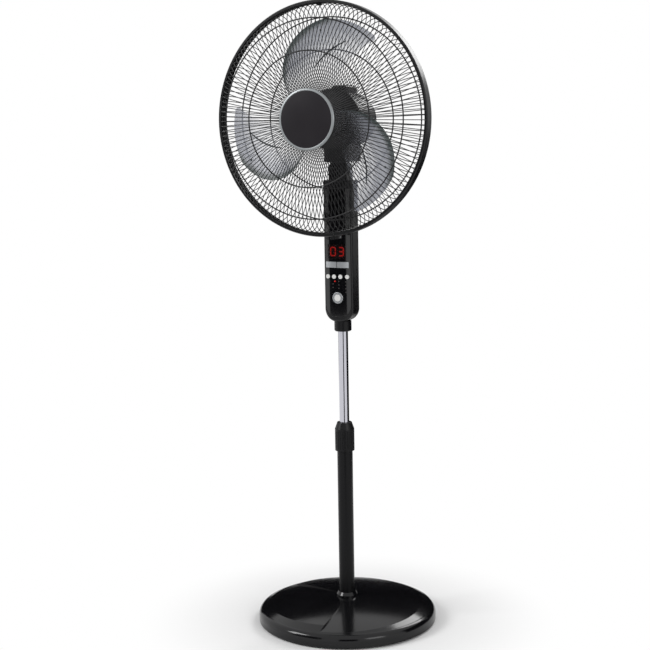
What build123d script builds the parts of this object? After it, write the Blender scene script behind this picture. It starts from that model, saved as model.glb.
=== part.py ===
from build123d import *
import math
import os

# Pedestal fan, millimetres. +Z is up, the fan blows towards -Y, and the origin
# is on the floor under the pole's axis.

# Fits and gaps
FIT = 0.05            # pressed or seated pieces
RUN = 0.10            # sliding and turning fits
GAP = 0.3             # clearance between pieces that pass each other

# Base
BASE_R = 185.0  # outer radius of the base cover
BASE_H = 50.0         # height of the dome at the pole
RIM_H = 29.0          # height of the dome at the rim, before the edge is rounded
RIM_ROUND = 14.0      # rounding of the rim
RIM_SINK = 0.6        # how far the rounding starts below the lowest lobe
BASE_LIFT = 3.0       # rim above the floor
BASE_WALL = 3.4
LOBES = 3             # swirl steps round the dome
LOBE_SHIFT = 11.0     # sideways shift of each lobe's crown, which makes the step
LOBE_TURN = 35.0  # angle of the first step
LOBE_SWEEP = 12.0     # how far a step bends on its way in
BOSS_R = 24.0         # boss that carries the pole
WEIGHT_R = 150.0
WEIGHT_T = 12.0
PAD_R = 9.0
PAD_H = 5.0
PAD_RING = 138.0
PADS = 5
FOOT_RING_R = 21.5
FOOT_RING_H = 9.0

# Pole
OUTER_R = 16.0
OUTER_WALL = 2.0
OUTER_TOP = 400.0
INNER_R = 10.0
INNER_WALL = 1.1
INNER_BOTTOM = 240.0
SOCKET_DEPTH = 27.0   # how far the inner tube reaches into the control box
SOCKET_WALL = 2.5
PLUG_TOP = 46.0
BOLT_R = 4.0
COLLET_BOTTOM = 362.0
COLLET_RISE = 13.0
GUIDE_H = 24.0

# Height lock nut
NUT_BOTTOM = 361.0
NUT_TOP = 420.0
NUT_R = 20.0
NUT_RIBS = 24
NUT_RIB_R = 1.3
NUT_TAPER = 14.0      # height of the coned top

# Control box
BOX_Z0 = 631.0
BOX_Z1 = 917.0
BOX_W = 64.0
BOX_FRONT = -21.0  # front of the fascia on the centre line
BOX_SPLIT = 3.0
BOX_BACK = 20.0
BOX_WALL = 2.4
BOX_BOTTOM_R = 26.0  # round lower corners
BOX_BACK_R = 11.0
FACE_R = 120.0        # the front is a part of this upright cylinder
FRONT_EDGE_R = 4.0    # rounding of the front's edges
COLLAR_R = 17.5
COLLAR_H = 21.0
GLAND_X = 14.0
GLAND_Z = 652.0
GLAND_R = 4.5
GLAND_L = 7.0

# Fascia
FASCIA_T = 1.2
FASCIA_W = 56.0
FASCIA_Z0 = 642.0
FASCIA_Z1 = 900.0
FASCIA_R = 22.0
WINDOW_W = 40.0
WINDOW_H = 31.0
WINDOW_Z = 773.5
LEDGE = 2.0           # seat round the window
DIGIT_H = 19.0
DIGIT_W = 10.5
DIGIT_PITCH = 18.0
DIGIT_X = -2.0
DIGIT_Z = 773.5
STROKE = 2.4
STROKE_T = 0.3
EYE_W = 21.0
EYE_H = 7.0
EYE_X = -16.0
EYE_Z = 800.0
PLATE_W = 25.0
PLATE_H = 12.0
PLATE_T = 0.5
PLATE_X = -1.0
PLATE_SPLIT = 1.3
PLATE_Z = 747.0
KEY_R = 4.4
KEY_Z = 723.0
KEY_PITCH = 14.3
KEY_X = -0.6          # middle of the row
KEY_RISE = 1.6        # how far a key stands out
KEY_TRAVEL = 1.2
POWER_R = 11.5
POWER_Z = 680.0
LENS_R = 7.0
LIGHT_R = 1.1
LIGHT_PITCH = 7.0
LIGHT_COLUMNS = ((-10.5, 708.0, 2), (3.0, 713.5, 3), (18.0, 713.0, 4))
LIT_PLACE = (-6.0, 713.7)
BOARD_Y = -4.0        # front of the circuit board
BOARD_T = 1.6
BOARD_W = 50.0
BOARD_Z0 = 666.0
BOARD_Z1 = 806.0
SWITCH_H = 2.5
STEM_R = 1.6

# Neck and tilt joint
NECK_W = 40.0
NECK_D = 30.0
NECK_ROOT = 40.0      # length of the neck inside the box
CHEEK = 10.0
TILT_Z = 937.0
CHEEK_R = 14.5
KNUCKLE_R = 13.0
STEM_POST_R = 9.5
TILT_BOLT_R = 4.0

# Head, measured from the motor's axis and from the front of the hub cap
AXIS_Z = 1037.0
HUB_FACE_Y = -146.0
CASE_W = 54.0
CASE_FRONT = -26.0
CASE_BACK = 46.0
CASE_BOTTOM = 953.0
CASE_WALL = 2.4
PIN_R = 5.0
GEAR_MODULE = 1.0
SECTOR_TEETH = 42
PINION_TEETH = 14
GEAR_T = 5.5
SWING_MOTOR_R = 13.0

# Motor, with depths behind the hub face
MOTOR_R = 54.0
MOTOR_FRONT = 114.4
COVER_SPLIT = 132.0
MOTOR_END = 226.0
COVER_WALL = 2.2
STATOR_R = 40.8
ROTOR_R = 20.0
AIR_GAP = 0.5         # between rotor and stator
STATOR_FRONT = 143.0
STATOR_LENGTH = 40.0
SHAFT_R = 4.0
SHAFT_FRONT = 22.0
BRACKET_DEPTH = 196.0
POST_RING = 44.0
POST_R = 3.0
BEARING_R = 9.0
BEARING_T = 7.0
HUMP_W = 34.0
HUMP_TOP = 68.0
HUMP_FRONT = 140.0
HUMP_BACK = 198.0
SLOT_W = 3.6
SLOT_H = 13.0

# Guard
GUARD_R = 228.5
BAND_W = 22.0
BAND_MID = 66.0
BAND_WALL = 2.6
LUG_TURN = -7.0       # degrees from the lowest point to the band's clamp lug
LUG_H = 6.0
LUG_W = 18.0
BAND_LIP = 3.5
WIRES = 135
WIRE_R = 0.8
WIRE_FLATS = 8        # a drawn wire is round; eight flats keep the many wires light
RING_R = 1.3
RIM_RING_R = 1.7
RIM_GAP = 0.6         # rim rings clear of the band
FRONT_START = (50.0, 5.4)
FRONT_SLOPE = -2.5
FRONT_BEND_R = 356.0
FRONT_TURN = 24.0
FRONT_RINGS = (130.0, 192.0)
REAR_START = (58.0, 110.7)
REAR_SLOPE = -5.8
REAR_BEND_R = 26.0
REAR_RINGS = (136.0, 198.0)
PLATE_R = 61.0
PLATE_DEPTH = 112.0
REAR_PLATE_T = 2.0
NUT_HOLE_R = 19.0
HUB_R = 54.5
HUB_RING_R = 59.5
HUB_RING_T = 3.4
HUB_SAG = 1.6         # dome of the hub cap

# Impeller
BLADES = 3
TIP_R = 195.0
BLADE_HUB_R = 36.0
BLADE_HUB_FRONT = 32.0
BLADE_HUB_BACK = 76.0
BLADE_T = 2.2
BLADE_BOSS_R = 10.0
DRIVE_PIN_R = 1.5
BLADE_LEAD = 28.0     # depth gained for each radian towards the leading edge
BLADE_TRAIL_DEPTH = 28.0
BLADE_TRAIL = 125.0   # angle of the trailing edge at that depth
BLADE_CAMBER = 5.0
BLADE_LEADING = 50.0  # angle of the leading tip
SPINNER_R = 16.0
SPINNER_L = 13.4

# Places that follow from the sizes above
WEIGHT_TOP = PAD_H + WEIGHT_T
DOME_R = (BASE_R ** 2 + (BASE_H - RIM_H) ** 2) / (2 * (BASE_H - RIM_H))
RIM_SLOPE = math.degrees(math.asin(BASE_R / DOME_R))
ROUND_END_R = BASE_R - RIM_ROUND + RIM_ROUND * math.sin(math.radians(RIM_SLOPE))
LOW_LOBE_Z = BASE_H - (ROUND_END_R + LOBE_SHIFT * 0.87) ** 2 / (2 * DOME_R)
ROUND_Z = LOW_LOBE_Z - RIM_SINK - RIM_ROUND * math.cos(math.radians(RIM_SLOPE))
TUBE_BORE = OUTER_R - OUTER_WALL
INNER_TOP = BOX_Z0 + SOCKET_DEPTH
COLLET_TOP = OUTER_TOP + COLLET_RISE
GEAR_Z = CASE_BOTTOM + CASE_WALL + 0.6
SECTOR_R = GEAR_MODULE * SECTOR_TEETH / 2
PINION_R = GEAR_MODULE * PINION_TEETH / 2
PINION_Y = SECTOR_R + PINION_R
CASE_ROOF = AXIS_Z - MOTOR_R - CASE_WALL - GAP
BAND_FRONT = BAND_MID - BAND_W / 2
BAND_BACK = BAND_MID + BAND_W / 2
RIM_SEAT = 0.1
WIRE_END_R = GUARD_R - BAND_WALL - RIM_GAP - 2 * RIM_RING_R - RIM_SEAT - WIRE_R
WIRE_STOP = 2.4       # the wires end this far each side of the band's middle
STANDING = (Align.CENTER, Align.CENTER, Align.MIN)


def save(name, *shapes):
    solids = [s for shape in shapes for s in shape.solids()]
    export_step(Compound(solids) if len(solids) > 1 else solids[0], f"parts/{name}.step")


def lathe_z(*points):
    """Turn an outline of (radius, height) about the pole's axis."""
    face = Plane.XZ * make_face(Polyline(*points, close=True))
    return revolve(face, Axis.Z)


def lathe_y(*points):
    """Turn an outline of (radius, depth) about the motor's axis."""
    return in_head(revolve(make_face(Polyline(*points, close=True)), Axis.Y))


def in_head(shape):
    return Pos(0, HUB_FACE_Y, AXIS_Z) * shape


def post(radius, z0, z1, x=0.0, y=0.0):
    return Pos(x, y, z0) * Cylinder(radius, z1 - z0, align=STANDING)


def tube(outer, inner, z0, z1, x=0.0, y=0.0):
    return post(outer, z0, z1, x, y) - post(inner, z0 - 1, z1 + 1, x, y)


def rod_y(radius, y0, y1, x=0.0, z=0.0):
    """A round bar along Y."""
    return Pos(x, y1, z) * Rot(90, 0, 0) * Cylinder(radius, y1 - y0, align=STANDING)


def rod_x(radius, x0, x1, y=0.0, z=0.0):
    """A round bar along X."""
    return Pos(x0, y, z) * Rot(0, 90, 0) * Cylinder(radius, x1 - x0, align=STANDING)


def block(x0, x1, y0, y1, z0, z1):
    size = Box(x1 - x0, y1 - y0, z1 - z0)
    return Pos((x0 + x1) / 2, (y0 + y1) / 2, (z0 + z1) / 2) * size


def upright(sketch, y0, y1):
    """Extrude an outline drawn as (x, z) from y0 back to y1."""
    return Pos(0, y1, 0) * extrude(Plane.XZ * sketch, y1 - y0)


def round_bottomed(width, z0, z1, radius):
    """A tall outline with a flat top and round lower corners."""
    half = width / 2
    left = Line((-half, z1), (-half, z0 + radius))
    low_left = RadiusArc(left @ 1, (-half + radius, z0), -radius)
    low = Line(low_left @ 1, (half - radius, z0))
    low_right = RadiusArc(low @ 1, (half, z0 + radius), -radius)
    right = Line(low_right @ 1, (half, z1))
    return make_face([left, low_left, low, low_right, right, Line(right @ 1, left @ 0)])


def face_y(x):
    """Where the curved front lies at a place across the box."""
    return BOX_FRONT + FACE_R - math.sqrt(FACE_R ** 2 - x ** 2)


def face_layer(outer, inner):
    """The layer between two cylinders that follow the curved front, by their depth."""
    centre = BOX_FRONT + FACE_R
    return tube(FACE_R - outer, FACE_R - inner, BOX_Z0 - 50, BOX_Z1 + 50, 0, centre)


# Base

def sector():
    """One lobe's plan, with its two bent step lines."""
    ends = [LOBE_TURN, LOBE_TURN + 360 / LOBES]
    reach = BASE_R * 1.2

    def polar(radius, angle):
        return (radius * math.cos(math.radians(angle)), radius * math.sin(math.radians(angle)))

    def step(angle):
        return ThreePointArc((0, 0), polar(reach / 2, angle + LOBE_SWEEP / 2), polar(reach, angle))

    first, last = step(ends[0]), step(ends[1])
    middle = polar(reach * 2.2, sum(ends) / 2)
    return make_face([first, Line(first @ 1, middle), Line(middle, last @ 1), last])


def base_dome():
    away = math.radians(LOBE_TURN + 180 / LOBES + 90)
    crown = Pos(LOBE_SHIFT * math.cos(away), LOBE_SHIFT * math.sin(away), BASE_H - DOME_R)
    lobe = extrude(sector(), BASE_H * 2) & (crown * Sphere(DOME_R))
    lobe = lobe & rim_blank(0, BASE_LIFT)
    dome = lobe
    for index in range(1, LOBES):
        dome += Rot(0, 0, 360 / LOBES * index) * lobe
    return dome


def rim_blank(inset, low):
    """A round-edged blank that trims the dome's rim, or its hollow by the wall's inset."""
    radius = RIM_ROUND - inset
    centre = BASE_R - RIM_ROUND

    def on_round(angle):
        turn = math.radians(angle)
        return (centre + radius * math.cos(turn), ROUND_Z + radius * math.sin(turn))

    side = Line((BASE_R - inset, low), on_round(0))
    edge = ThreePointArc(side @ 1, on_round(45), on_round(90 - RIM_SLOPE))
    roof = Polyline(edge @ 1, (0, BASE_H * 2), (0, low), side @ 0)
    return revolve(Plane.XZ * make_face([side, edge, roof]), Axis.Z)


def base_cover():
    inner_crown = Pos(0, 0, BASE_H - DOME_R - BASE_WALL / 2) * Sphere(DOME_R - BASE_WALL)
    hollow = inner_crown & rim_blank(BASE_WALL, -1)
    hollow -= post(BOSS_R, WEIGHT_TOP, BASE_H * 2)
    cover = base_dome() - hollow
    cover += post(BOSS_R, WEIGHT_TOP, BASE_H)
    return cover - post(OUTER_R + FIT, -1, BASE_H * 2)


def base_weight():
    weight = post(WEIGHT_R, PAD_H, WEIGHT_TOP)
    weight -= post(BOLT_R + GAP, 0, WEIGHT_TOP + 1)
    return weight - post(BOLT_R * 2.4, 0, PAD_H + WEIGHT_T / 2)


def foot_pads():
    pad = post(PAD_R, 0, PAD_H, PAD_RING)
    pad = chamfer(pad.edges().group_by(Axis.Z)[0], 0.8)
    return [Rot(0, 0, 360 / PADS * (n + 0.5) - 90) * pad for n in range(PADS)]


def pole_bolt():
    head_top = PAD_H + WEIGHT_T / 2
    head = extrude(RegularPolygon(BOLT_R * 1.7, 6), BOLT_R * 1.2)
    return Pos(0, 0, head_top - BOLT_R * 1.2) * head + post(BOLT_R, head_top - 1, PLUG_TOP - 10)


def pole_plug():
    return post(TUBE_BORE - FIT, WEIGHT_TOP, PLUG_TOP) - post(BOLT_R + FIT, WEIGHT_TOP - 1, PLUG_TOP - 9)


def foot_ring():
    bore = OUTER_R + FIT
    lip = bore + 1.6
    return lathe_z((bore, BASE_H), (FOOT_RING_R, BASE_H), (FOOT_RING_R, BASE_H + 3),
                   (lip, BASE_H + FOOT_RING_H), (bore, BASE_H + FOOT_RING_H))


# Pole

def outer_tube():
    return tube(OUTER_R, TUBE_BORE, WEIGHT_TOP, OUTER_TOP)


def collet():
    bore = INNER_R + RUN
    body = tube(TUBE_BORE - FIT, bore, COLLET_BOTTOM, COLLET_TOP)
    for angle in (0, 90):
        slit = block(-OUTER_R, OUTER_R, -0.8, 0.8, OUTER_TOP + 1, COLLET_TOP + 1)
        body -= Rot(0, 0, angle) * slit
    return body


def lock_nut():
    wide = OUTER_R + 0.4
    narrow = INNER_R + 0.7
    lid = COLLET_TOP + 0.5
    neck = NUT_R - 5.0
    nut = lathe_z((wide, NUT_BOTTOM), (NUT_R, NUT_BOTTOM), (NUT_R, NUT_TOP - NUT_TAPER), (neck, NUT_TOP),
                  (narrow, NUT_TOP), (narrow, lid), (wide - 1, lid), (wide, lid - 1))
    groove = post(NUT_RIB_R, NUT_BOTTOM + 4, NUT_TOP - NUT_TAPER - 4, NUT_R + NUT_RIB_R * 0.3)
    for n in range(NUT_RIBS):
        nut -= Rot(0, 0, 360 / NUT_RIBS * n) * groove
    return nut


def inner_tube():
    return tube(INNER_R, INNER_R - INNER_WALL, INNER_BOTTOM, INNER_TOP)


def tube_guide():
    foot = INNER_BOTTOM - 3
    sleeve = post(TUBE_BORE - RUN, foot, foot + GUIDE_H)
    return sleeve - post(INNER_R + FIT, INNER_BOTTOM, foot + GUIDE_H + 1)


def box_collar():
    ring = tube(COLLAR_R, INNER_R + FIT, BOX_Z0 - COLLAR_H, BOX_Z0)
    lowest = ring.edges().filter_by(GeomType.CIRCLE).group_by(Axis.Z)[0]
    return chamfer(lowest.sort_by(SortBy.RADIUS)[-1], 1.8)


# Control box

def box_outline(inset=0.0):
    return round_bottomed(BOX_W - 2 * inset, BOX_Z0 + inset, BOX_Z1 - inset, BOX_BOTTOM_R - inset)


def neck_hole():
    half = NECK_W / 2 + GAP
    deep = NECK_D / 2 + GAP
    return block(-half, half, -deep, deep, BOX_Z1 - 3 * BOX_WALL, BOX_Z1 + 1)


def fascia_outline(inset=0.0):
    return round_bottomed(FASCIA_W - 2 * inset, FASCIA_Z0 + inset, FASCIA_Z1 - inset, FASCIA_R - inset)


def window_outline(inset=0.0):
    return Pos(DIGIT_X, WINDOW_Z) * RectangleRounded(WINDOW_W - 2 * inset, WINDOW_H - 2 * inset, 2.5)


def eye_outline(inset=0.0):
    return Pos(EYE_X, EYE_Z) * Ellipse(EYE_W / 2 - inset, EYE_H / 2 - inset)


def key_places():
    return [(KEY_X + KEY_PITCH * (n - 1.5), KEY_Z, KEY_R) for n in range(4)]


def light_places():
    return [(x, top - LIGHT_PITCH * row) for x, top, count in LIGHT_COLUMNS for row in range(count)]


def key_holes():
    holes = [rod_y(r + GAP, BOX_FRONT - 9, BOX_SPLIT - 2, x, z) for x, z, r in key_places()]
    return holes + [rod_y(POWER_R + GAP, BOX_FRONT - 9, BOX_SPLIT - 2, 0, POWER_Z)]


def front_shell():
    deep = BOX_FRONT - 10
    centre = BOX_FRONT + FACE_R
    shell = upright(box_outline(), deep, BOX_SPLIT) & post(FACE_R, BOX_Z0, BOX_Z1, 0, centre)
    shell = fillet(shell.faces().sort_by(Axis.Y)[0].edges(), FRONT_EDGE_R)
    hollow = upright(box_outline(BOX_WALL), deep, BOX_SPLIT + 1)
    shell -= hollow & post(FACE_R - BOX_WALL - FASCIA_T, BOX_Z0, BOX_Z1, 0, centre)
    shell -= upright(fascia_outline(-FIT), deep, BOX_SPLIT) & face_layer(-1, FASCIA_T + FIT)
    shell -= upright(window_outline(LEDGE), deep, BOX_SPLIT)
    shell -= upright(eye_outline(1.0), deep, BOX_SPLIT)
    for hole in key_holes():
        shell -= hole
    return shell - neck_hole() - post(INNER_R + GAP, BOX_Z0 - 1, BOX_Z0 + 9)


def rear_shell():
    shell = upright(box_outline(), BOX_SPLIT, BOX_BACK)
    shell = fillet(shell.faces().sort_by(Axis.Y)[-1].edges(), BOX_BACK_R)
    inner = upright(box_outline(BOX_WALL), BOX_SPLIT - 1, BOX_BACK - BOX_WALL)
    shell -= fillet(inner.faces().sort_by(Axis.Y)[-1].edges(), BOX_BACK_R - BOX_WALL)
    for x, z in board_posts():
        shell += rod_y(3.0, BOARD_Y + BOARD_T, BOX_BACK - BOX_WALL / 2, x, z)
    for x, z in screw_places():
        shell += rod_y(4.0, BOX_SPLIT, BOX_BACK - BOX_WALL / 2, x, z)
        shell -= rod_y(1.6, BOX_SPLIT - 1, BOX_BACK + 1, x, z)
        shell -= rod_y(3.2, BOX_BACK - 3, BOX_BACK + 1, x, z)
    return shell - neck_hole() - post(INNER_R + GAP, BOX_Z0 - 1, BOX_Z0 + 9) - gland_hole()


def board_posts():
    half = BOARD_W / 2 - 5
    return [(x, z) for x in (-half, half) for z in (BOARD_Z0 + 6, BOARD_Z1 - 6)]


def screw_places():
    return [(x, z) for x in (-15.0, 15.0) for z in (BOX_Z0 + 60, BOX_Z1 - 45)]


def shell_screws():
    screws = []
    for x, z in screw_places():
        screw = rod_y(3.0, BOX_BACK - 3 + FIT, BOX_BACK - 1, x, z)
        screw += rod_y(1.5, BOX_SPLIT + 1, BOX_BACK - 2, x, z)
        screw -= block(x - 2.4, x + 2.4, BOX_BACK - 1.9, BOX_BACK, z - 0.4, z + 0.4)
        screw -= block(x - 0.4, x + 0.4, BOX_BACK - 1.9, BOX_BACK, z - 2.4, z + 2.4)
        screws.append(screw)
    return screws


def gland_hole():
    return rod_y(GLAND_R - 1 + FIT, BOX_BACK - 9, BOX_BACK + 1, GLAND_X, GLAND_Z)


def cord_gland():
    barrel = rod_y(GLAND_R - 1, BOX_BACK - 5, BOX_BACK + GLAND_L, GLAND_X, GLAND_Z)
    barrel += rod_y(GLAND_R, BOX_BACK + FIT, BOX_BACK + GLAND_L, GLAND_X, GLAND_Z)
    return barrel - rod_y(GLAND_R - 2.2, BOX_BACK - 6, BOX_BACK + GLAND_L + 1, GLAND_X, GLAND_Z)


def fascia():
    plate = upright(fascia_outline(), BOX_FRONT - 10, BOX_SPLIT) & face_layer(-0.3, FASCIA_T)
    plate -= upright(window_outline(-FIT), BOX_FRONT - 10, BOX_SPLIT)
    plate -= upright(eye_outline(-FIT), BOX_FRONT - 10, BOX_SPLIT)
    for hole in key_holes():
        plate -= hole
    for x, z in light_places() + [LIT_PLACE]:
        plate -= rod_y(LIGHT_R + FIT, BOX_FRONT - 10, BOX_SPLIT, x, z)
    return plate


def window():
    return upright(window_outline(), BOX_FRONT - 10, BOX_SPLIT) & face_layer(-0.3, FASCIA_T)


def receiver_eye():
    return upright(eye_outline(), BOX_FRONT - 10, BOX_SPLIT) & face_layer(-0.6, FASCIA_T)


def legend_plates():
    layer = face_layer(-0.35 - PLATE_T, -0.35)
    plates = []
    for side in (-1, 1):
        middle = PLATE_X + side * (PLATE_W + PLATE_SPLIT) / 2
        outline = Pos(middle, PLATE_Z) * RectangleRounded(PLATE_W, PLATE_H, 0.8)
        plates.append(upright(outline, BOX_FRONT - 10, BOX_SPLIT) & layer)
    return plates


def light(x, z):
    return rod_y(LIGHT_R, face_y(x) - 0.5, face_y(x) + FASCIA_T - 0.4, x, z)


def indicator_lights():
    return [light(x, z) for x, z in light_places()]


MODULE_FRONT = BOX_FRONT + 3.6


def display_module():
    half = WINDOW_W / 2 - LEDGE - 3 * GAP
    tall = WINDOW_H / 2 - LEDGE - 3 * GAP
    return block(DIGIT_X - half, DIGIT_X + half, MODULE_FRONT, BOARD_Y, WINDOW_Z - tall, WINDOW_Z + tall)


def digit_bars(x, lit):
    """The seven bars of one digit, by their letters a to g."""
    w, h = DIGIT_W / 2, DIGIT_H / 2
    s = STROKE
    flat = (2 * w - s, s)
    tall = (s, h - s)
    places = {
        "a": (0, h, flat), "b": (w, h / 2, tall), "c": (w, -h / 2, tall), "d": (0, -h, flat),
        "e": (-w, -h / 2, tall), "f": (-w, h / 2, tall), "g": (0, 0, flat),
    }
    bars = []
    for letter in lit:
        dx, dz, (long_x, long_z) = places[letter]
        outline = Pos(x + dx, DIGIT_Z + dz * (1 - s / DIGIT_H)) * Rectangle(long_x, long_z)
        bars.append(upright(outline, MODULE_FRONT - STROKE_T, MODULE_FRONT))
    return bars


def lit_digits():
    half = DIGIT_PITCH / 2
    return digit_bars(DIGIT_X - half, "abcdef") + digit_bars(DIGIT_X + half, "abcdg")


def circuit_board():
    """The board with its five key switches."""
    board = block(-BOARD_W / 2, BOARD_W / 2, BOARD_Y, BOARD_Y + BOARD_T, BOARD_Z0, BOARD_Z1)
    places = [(x, z) for x, z, _ in key_places()] + [(0, POWER_Z)]
    for x, z in places:
        board += block(x - 3, x + 3, BOARD_Y - SWITCH_H, BOARD_Y, z - 3, z + 3)
    return board


def key(x, z, radius):
    """A key with its flange behind the shell and a stem that meets its switch."""
    front = face_y(x) - KEY_RISE
    flange = face_y(abs(x) + radius + 1.2) + BOX_WALL + FASCIA_T + 0.4
    stem_end = BOARD_Y - SWITCH_H - KEY_TRAVEL - GAP
    cap = rod_y(radius, front, flange + 0.5, x, z)
    cap = fillet(cap.edges().group_by(Axis.Y)[0], 0.7)
    cap += rod_y(radius + 1.0, flange, flange + 1.0, x, z)
    if stem_end > flange + 1.0:
        cap += rod_y(STEM_R, flange, stem_end, x, z)
    return cap


def power_key():
    body = key(0, POWER_Z, POWER_R)
    return body - rod_y(LENS_R + FIT, BOX_FRONT - 9, BOX_FRONT + 1.4, 0, POWER_Z)


def power_lens():
    lens = rod_y(LENS_R, BOX_FRONT - KEY_RISE - 0.4, BOX_FRONT + 1.4, 0, POWER_Z)
    return fillet(lens.edges().group_by(Axis.Y)[0], 0.4)


def mast_socket():
    top = INNER_TOP + 5
    low = BOX_Z0 + BOX_WALL + 1
    half = INNER_R + SOCKET_WALL
    body = block(-half, half, -half, half, low, top) & upright(box_outline(BOX_WALL + FIT), -half, half)
    return body - post(INNER_R + FIT, BOX_Z0 - 1, INNER_TOP)


# Neck and tilt

def neck_fork():
    half, deep = NECK_W / 2, NECK_D / 2
    body = block(-half, half, -deep, deep, BOX_Z1 - BOX_WALL, TILT_Z - CHEEK_R)
    body += block(-half, half, -deep + 3, deep - 3, BOX_Z1 - NECK_ROOT, BOX_Z1)
    body += block(-half, half, -CHEEK_R, CHEEK_R, TILT_Z - CHEEK_R - 1, TILT_Z)
    body += rod_x(CHEEK_R, -half, half, 0, TILT_Z)
    gap = half - CHEEK
    body -= block(-gap, gap, -deep - 1, deep + 1, TILT_Z, TILT_Z + CHEEK_R + 1)
    body -= rod_x(KNUCKLE_R + 0.8, -gap, gap, 0, TILT_Z)
    body -= block(-gap, gap, -deep - 1, deep + 1, TILT_Z - 6, TILT_Z + 1)
    return body - rod_x(TILT_BOLT_R + FIT, -half - 1, half + 1, 0, TILT_Z)


def tilt_bolt():
    half = NECK_W / 2
    bolt = rod_x(TILT_BOLT_R, -half - 2, half + 5, 0, TILT_Z)
    return bolt + rod_x(TILT_BOLT_R * 1.8, -half - 4, -half, 0, TILT_Z)


def tilt_nut():
    half = NECK_W / 2
    nut = Pos(half, 0, TILT_Z) * Rot(0, 90, 0) * extrude(RegularPolygon(TILT_BOLT_R * 1.8, 6), 4)
    return nut - rod_x(TILT_BOLT_R + FIT, half - 1, half + 6, 0, TILT_Z)


def tilt_knuckle():
    half = NECK_W / 2 - CHEEK - GAP
    seat = GEAR_Z - FIT
    body = rod_x(KNUCKLE_R, -half, half, 0, TILT_Z)
    body += post(STEM_POST_R, TILT_Z, seat)
    body += post(NECK_W / 2, TILT_Z + CHEEK_R + GAP, CASE_BOTTOM - GAP)
    body -= rod_x(TILT_BOLT_R + RUN, -half - 1, half + 1, 0, TILT_Z)
    return body - post(PIN_R + RUN, TILT_Z + TILT_BOLT_R + 3, seat + 1)


def gear(teeth, bore, turn, arc=360):
    """A straight-toothed gear with thin teeth, for a free-running mesh."""
    pitch = GEAR_MODULE * teeth / 2
    root, tip = pitch - 1.1 * GEAR_MODULE, pitch + 0.8 * GEAR_MODULE
    step = 2 * math.pi / teeth
    points = []
    for n in range(teeth):
        centre = math.radians(turn) + n * step
        for radius, share in ((root, -0.32), (tip, -0.13), (tip, 0.13), (root, 0.32)):
            angle = centre + share * step
            points.append((radius * math.cos(angle), radius * math.sin(angle)))
    wheel = extrude(make_face(Polyline(*points, close=True)), GEAR_T) - post(bore, -1, GEAR_T + 1)
    if arc < 360:
        keep = post(root - 1.5, 0, GEAR_T) - post(bore, -1, GEAR_T + 1)
        away = 90 - arc / 2
        slice_r = tip * 3
        wedge = make_face(Polyline((0, 0), (slice_r * math.cos(math.radians(away)),
                                            slice_r * math.sin(math.radians(away))),
                                   (-slice_r * math.cos(math.radians(away)),
                                    slice_r * math.sin(math.radians(away))), close=True))
        wheel = keep + (wheel & extrude(wedge, GEAR_T))
    return wheel


def swing_sector():
    return Pos(0, 0, GEAR_Z) * gear(SECTOR_TEETH, PIN_R + RUN, 90, 130)


def swing_pinion():
    half_tooth = 180 / PINION_TEETH
    wheel = Pos(0, PINION_Y, GEAR_Z) * gear(PINION_TEETH, 1.0, -90 + half_tooth)
    return wheel + post(2.0, GEAR_Z, GEAR_Z + GEAR_T + 5, 0, PINION_Y)


def swing_motor():
    low = GEAR_Z + GEAR_T + 1
    body = post(SWING_MOTOR_R, low, CASE_ROOF - FIT, 0, PINION_Y)
    return body - post(2.0 + RUN, low - 1, low + 5, 0, PINION_Y)


def swing_case():
    half = CASE_W / 2
    body = block(-half, half, CASE_FRONT, CASE_BACK, CASE_BOTTOM, AXIS_Z - MOTOR_R * 0.8)
    body = fillet(body.edges().filter_by(Axis.Z), 9)
    wall = CASE_WALL
    room = block(-half + wall, half - wall, CASE_FRONT + wall, CASE_BACK - wall,
                 CASE_BOTTOM + wall, CASE_ROOF)
    body -= fillet(room.edges().filter_by(Axis.Z), 9 - wall)
    body -= in_head(rod_y(MOTOR_R + GAP, 0, 400))
    body -= post(STEM_POST_R + 1, CASE_BOTTOM - 1, CASE_BOTTOM + wall + 1)
    return body - post(PIN_R + FIT, CASE_ROOF - 1, AXIS_Z)


def swing_pin():
    pin = post(PIN_R, TILT_Z + TILT_BOLT_R + 3.5, CASE_ROOF + CASE_WALL - GAP)
    return pin + post(PIN_R + 2.5, CASE_ROOF - 2, CASE_ROOF - FIT)


# Motor

def motor_front_cover():
    bore = BEARING_R + FIT
    back = COVER_SPLIT
    face = MOTOR_FRONT
    boss = face - 13
    edge = MOTOR_R
    wall = COVER_WALL
    seat = boss + 2 + BEARING_T
    cover = lathe_y((SHAFT_R + 1, boss), (NUT_HOLE_R - FIT, boss), (NUT_HOLE_R - FIT, face), (edge - 4, face),
                    (edge, face + 4), (edge, back), (edge - wall, back), (edge - wall, face + 4 + wall / 2),
                    (edge - 4 - wall / 2, face + wall + 1), (bore + 3, face + wall + 1), (bore + 3, seat),
                    (bore, seat), (bore, boss + 2), (SHAFT_R + 1, boss + 2))
    return cover


def post_places():
    return [flat_polar(POST_RING, angle) for angle in (45, 135, 225, 315)]


def rear_bracket():
    depth = BRACKET_DEPTH
    bore = BEARING_R + FIT
    plate = lathe_y((bore, depth), (POST_RING + 4, depth), (POST_RING + 4, depth + 3), (bore + 3, depth + 3),
                    (bore + 3, depth + 3 + BEARING_T), (bore, depth + 3 + BEARING_T))
    front = MOTOR_FRONT + COVER_WALL + 1 + FIT
    for x, z in post_places():
        plate += in_head(rod_y(POST_R, front, depth + 1, x, z))
    return plate


def bearings():
    front = MOTOR_FRONT - 13 + 2 + FIT
    rear = BRACKET_DEPTH + 3
    rings = []
    for depth in (front, rear):
        rings.append(lathe_y((SHAFT_R + RUN, depth), (BEARING_R, depth), (BEARING_R, depth + BEARING_T - FIT),
                             (SHAFT_R + RUN, depth + BEARING_T - FIT)))
    return rings


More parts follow.
